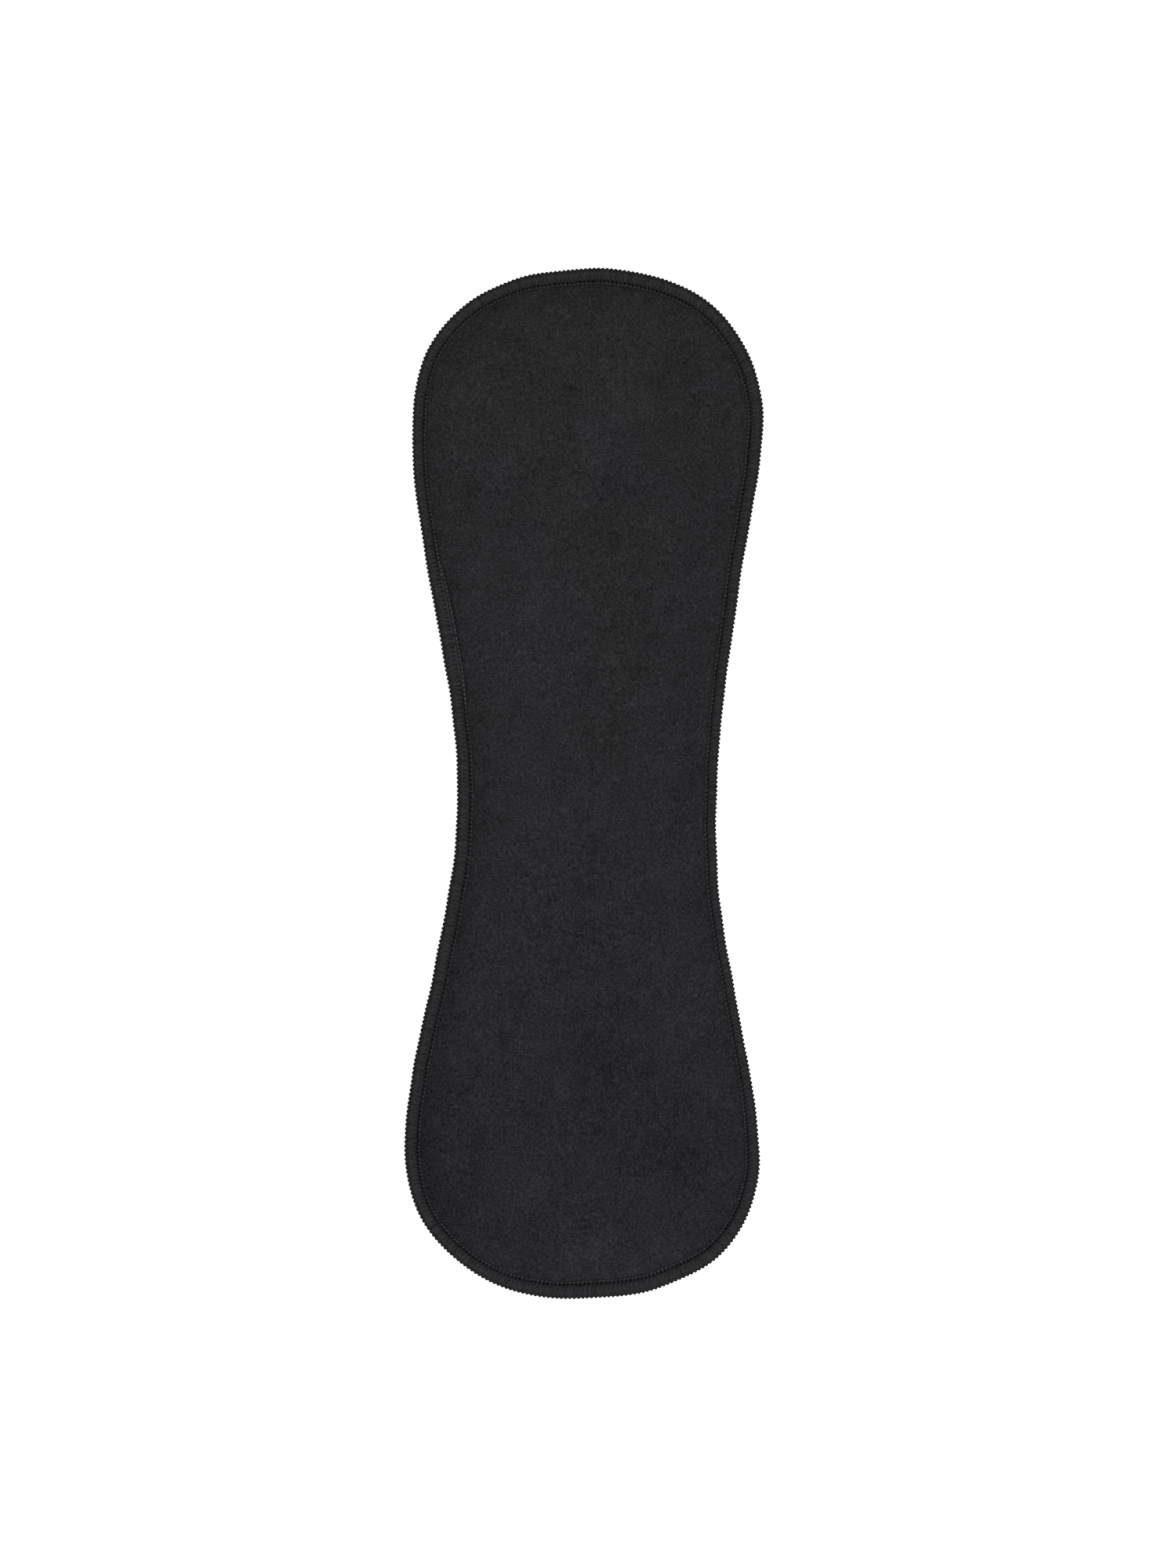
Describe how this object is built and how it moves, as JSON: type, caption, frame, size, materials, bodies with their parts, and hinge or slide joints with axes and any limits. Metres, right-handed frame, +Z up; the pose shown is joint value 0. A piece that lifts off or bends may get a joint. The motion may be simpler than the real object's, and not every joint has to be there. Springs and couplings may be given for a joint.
{
  "type": "contoured absorbent insert",
  "caption": "Flat hourglass-shaped absorbent cloth insert: plies of fabric joined by an overlock seam all round the edge.",
  "frame": {"origin": "middle of the outline's box, on the surface that the insert lies on", "axes": "+Z up out of the face panel, +Y along the length towards the front lobe, +X to the right seen from above"},
  "size_m": [0.1318, 0.38, 0.0039],
  "materials": {
    "brushed_knit": "matte",
    "core_cloth": "matte",
    "needle_sewing_thread": "satin",
    "looper_thread": "satin"
  },
  "bodies": {
    "root": {"face_panel": "brushed_knit", "back_panel": "brushed_knit", "core_ply_1": "core_cloth", "core_ply_2": "core_cloth", "core_ply_3": "core_cloth", "needle_thread": "needle_sewing_thread", "upper_looper_thread": "looper_thread", "lower_looper_thread": "looper_thread"}
  },
  "joints": []
}
